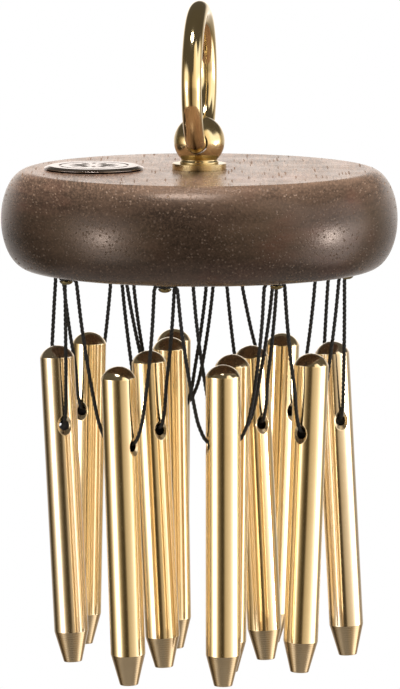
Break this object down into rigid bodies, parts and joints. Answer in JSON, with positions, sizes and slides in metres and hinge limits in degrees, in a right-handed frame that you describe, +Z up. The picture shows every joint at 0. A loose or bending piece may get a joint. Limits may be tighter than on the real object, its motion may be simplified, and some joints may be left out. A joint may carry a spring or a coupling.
{
  "type": "peg chime",
  "caption": "Small hanging chime: turned brass pegs on black cord loops below a round wooden disc, hung by a brass ring sprung through a ball.",
  "frame": {"origin": "top of the hanging ring's inside, where the hook bears that the chime hangs on", "axes": "+Z up, the front with the badge to the left faces -Y, +X to the right"},
  "size_m": [0.0888, 0.0888, 0.1505],
  "materials": {
    "wood": "dark hardwood with open pores under clear lacquer",
    "hanger_brass": "polished",
    "peg_brass": "polished sides, satin turned tips",
    "screw_brass": "dull",
    "plate": "polished, pinkish grey",
    "steel": "plain, hidden",
    "cord": "black twisted cord"
  },
  "bodies": {
    "ring": {"hanging_ring": "hanger_brass"},
    "disc": {"hanger_ball": "hanger_brass", "wood_disc": "wood", "badge": "plate", "hanger_stud": "steel", "screw_outer_1": "screw_brass", "screw_outer_2": "screw_brass", "screw_outer_3": "screw_brass", "screw_outer_4": "screw_brass", "screw_outer_5": "screw_brass", "screw_outer_6": "screw_brass", "screw_outer_7": "screw_brass", "screw_outer_8": "screw_brass", "screw_inner_1": "screw_brass", "screw_inner_2": "screw_brass", "screw_inner_3": "screw_brass", "screw_inner_4": "screw_brass"},
    "cord_outer_1": {"cord_loop_outer_1": "cord"},
    "peg_outer_1": {"peg_outer_1": "peg_brass"},
    "cord_outer_2": {"cord_loop_outer_2": "cord"},
    "peg_outer_2": {"peg_outer_2": "peg_brass"},
    "cord_outer_3": {"cord_loop_outer_3": "cord"},
    "peg_outer_3": {"peg_outer_3": "peg_brass"},
    "cord_outer_4": {"cord_loop_outer_4": "cord"},
    "peg_outer_4": {"peg_outer_4": "peg_brass"},
    "cord_outer_5": {"cord_loop_outer_5": "cord"},
    "peg_outer_5": {"peg_outer_5": "peg_brass"},
    "cord_outer_6": {"cord_loop_outer_6": "cord"},
    "peg_outer_6": {"peg_outer_6": "peg_brass"},
    "cord_outer_7": {"cord_loop_outer_7": "cord"},
    "peg_outer_7": {"peg_outer_7": "peg_brass"},
    "cord_outer_8": {"cord_loop_outer_8": "cord"},
    "peg_outer_8": {"peg_outer_8": "peg_brass"},
    "cord_inner_1": {"cord_loop_inner_1": "cord"},
    "peg_inner_1": {"peg_inner_1": "peg_brass"},
    "cord_inner_2": {"cord_loop_inner_2": "cord"},
    "peg_inner_2": {"peg_inner_2": "peg_brass"},
    "cord_inner_3": {"cord_loop_inner_3": "cord"},
    "peg_inner_3": {"peg_inner_3": "peg_brass"},
    "cord_inner_4": {"cord_loop_inner_4": "cord"},
    "peg_inner_4": {"peg_inner_4": "peg_brass"}
  },
  "joints": [
    {"name": "disc_sway", "type": "hinge", "parent": "ring", "child": "disc", "pos_m": [0, 0, -0.02692], "axis": [0.1132, 0.9936, 0], "range_deg": [-90, 90]},
    {"name": "swing_outer_1", "type": "hinge", "parent": "disc", "child": "cord_outer_1", "pos_m": [0.00475, -0.02973, -0.05584], "axis": [-0.9692, -0.2463, 0], "range_deg": [-3, 25]},
    {"name": "rock_outer_1", "type": "hinge", "parent": "cord_outer_1", "child": "peg_outer_1", "pos_m": [0.00526, -0.0296, -0.09127], "axis": [-0.9692, -0.2462, -0.0035], "range_deg": [-4, 20]},
    {"name": "swing_outer_2", "type": "hinge", "parent": "disc", "child": "cord_outer_2", "pos_m": [0.02498, -0.01687, -0.05584], "axis": [-0.6326, -0.7745, 0], "range_deg": [-3, 25]},
    {"name": "rock_outer_2", "type": "hinge", "parent": "cord_outer_2", "child": "peg_outer_2", "pos_m": [0.02431, -0.01769, -0.09028], "axis": [-0.5285, -0.8488, 0.017], "range_deg": [-4, 20]},
    {"name": "swing_outer_3", "type": "hinge", "parent": "disc", "child": "cord_outer_3", "pos_m": [0.03096, 0.00514, -0.05584], "axis": [0.1596, -0.9872, 0], "range_deg": [-3, 25]},
    {"name": "rock_outer_3", "type": "hinge", "parent": "cord_outer_3", "child": "peg_outer_3", "pos_m": [0.03084, 0.00588, -0.09056], "axis": [0.3175, -0.948, 0.024], "range_deg": [-4, 20]},
    {"name": "swing_outer_4", "type": "hinge", "parent": "disc", "child": "cord_outer_4", "pos_m": [0.01772, 0.02531, -0.05584], "axis": [0.8185, -0.5745, 0], "range_deg": [-5, 25]},
    {"name": "rock_outer_4", "type": "hinge", "parent": "cord_outer_4", "child": "peg_outer_4", "pos_m": [0.0185, 0.02476, -0.09106], "axis": [0.7486, -0.6625, -0.0267], "range_deg": [-6, 20]},
    {"name": "swing_outer_5", "type": "hinge", "parent": "disc", "child": "cord_outer_5", "pos_m": [-0.00592, 0.03076, -0.05584], "axis": [0.9808, 0.1948, 0], "range_deg": [-3, 25]},
    {"name": "rock_outer_5", "type": "hinge", "parent": "cord_outer_5", "child": "peg_outer_5", "pos_m": [-0.00592, 0.03076, -0.09077], "axis": [0.9765, 0.2154, -0.0049], "range_deg": [-4, 20]},
    {"name": "swing_outer_6", "type": "hinge", "parent": "disc", "child": "cord_outer_6", "pos_m": [-0.02547, 0.01803, -0.05584], "axis": [0.5721, 0.8202, 0], "range_deg": [-5, 25]},
    {"name": "rock_outer_6", "type": "hinge", "parent": "cord_outer_6", "child": "peg_outer_6", "pos_m": [-0.02538, 0.01816, -0.08999], "axis": [0.4253, 0.9047, -0.0246], "range_deg": [-6, 20]},
    {"name": "swing_outer_7", "type": "hinge", "parent": "disc", "child": "cord_outer_7", "pos_m": [-0.03104, -0.0051, -0.05584], "axis": [-0.1222, 0.9925, 0], "range_deg": [-4, 25]},
    {"name": "rock_outer_7", "type": "hinge", "parent": "cord_outer_7", "child": "peg_outer_7", "pos_m": [-0.03112, -0.00443, -0.09017], "axis": [-0.273, 0.9616, -0.0262], "range_deg": [-5, 20]},
    {"name": "swing_outer_8", "type": "hinge", "parent": "disc", "child": "cord_outer_8", "pos_m": [-0.01849, -0.02542, -0.05584], "axis": [-0.8276, 0.5613, 0], "range_deg": [-2, 25]},
    {"name": "rock_outer_8", "type": "hinge", "parent": "cord_outer_8", "child": "peg_outer_8", "pos_m": [-0.01733, -0.0262, -0.09198], "axis": [-0.8343, 0.5514, -0.0041], "range_deg": [-3, 20]},
    {"name": "swing_inner_1", "type": "hinge", "parent": "disc", "child": "cord_inner_1", "pos_m": [0.00758, -0.01136, -0.05584], "axis": [-0.8514, -0.5245, 0], "range_deg": [-1.5, 15]},
    {"name": "rock_inner_1", "type": "hinge", "parent": "cord_inner_1", "child": "peg_inner_1", "pos_m": [0.00724, -0.01157, -0.09127], "axis": [-0.8541, -0.5201, 0.0088], "range_deg": [-1.5, 12]},
    {"name": "swing_inner_2", "type": "hinge", "parent": "disc", "child": "cord_inner_2", "pos_m": [0.0117, 0.0075, -0.05584], "axis": [0.5262, -0.8504, 0], "range_deg": [-3, 15]},
    {"name": "rock_inner_2", "type": "hinge", "parent": "cord_inner_2", "child": "peg_inner_2", "pos_m": [0.0125, 0.0062, -0.09155], "axis": [0.4901, -0.8707, 0.0405], "range_deg": [-3, 12]},
    {"name": "swing_inner_3", "type": "hinge", "parent": "disc", "child": "cord_inner_3", "pos_m": [-0.00739, 0.01169, -0.05584], "axis": [0.8396, 0.5433, 0], "range_deg": [-3, 15]},
    {"name": "rock_inner_3", "type": "hinge", "parent": "cord_inner_3", "child": "peg_inner_3", "pos_m": [-0.00647, 0.01229, -0.09038], "axis": [0.8279, 0.5602, 0.0282], "range_deg": [-3, 12]},
    {"name": "swing_inner_4", "type": "hinge", "parent": "disc", "child": "cord_inner_4", "pos_m": [-0.0115, -0.00716, -0.05584], "axis": [-0.5633, 0.8263, 0], "range_deg": [-1.5, 6]},
    {"name": "rock_inner_4", "type": "hinge", "parent": "cord_inner_4", "child": "peg_inner_4", "pos_m": [-0.01052, -0.0086, -0.09077], "axis": [-0.5344, 0.8447, -0.0283], "range_deg": [-1.5, 8]}
  ]
}
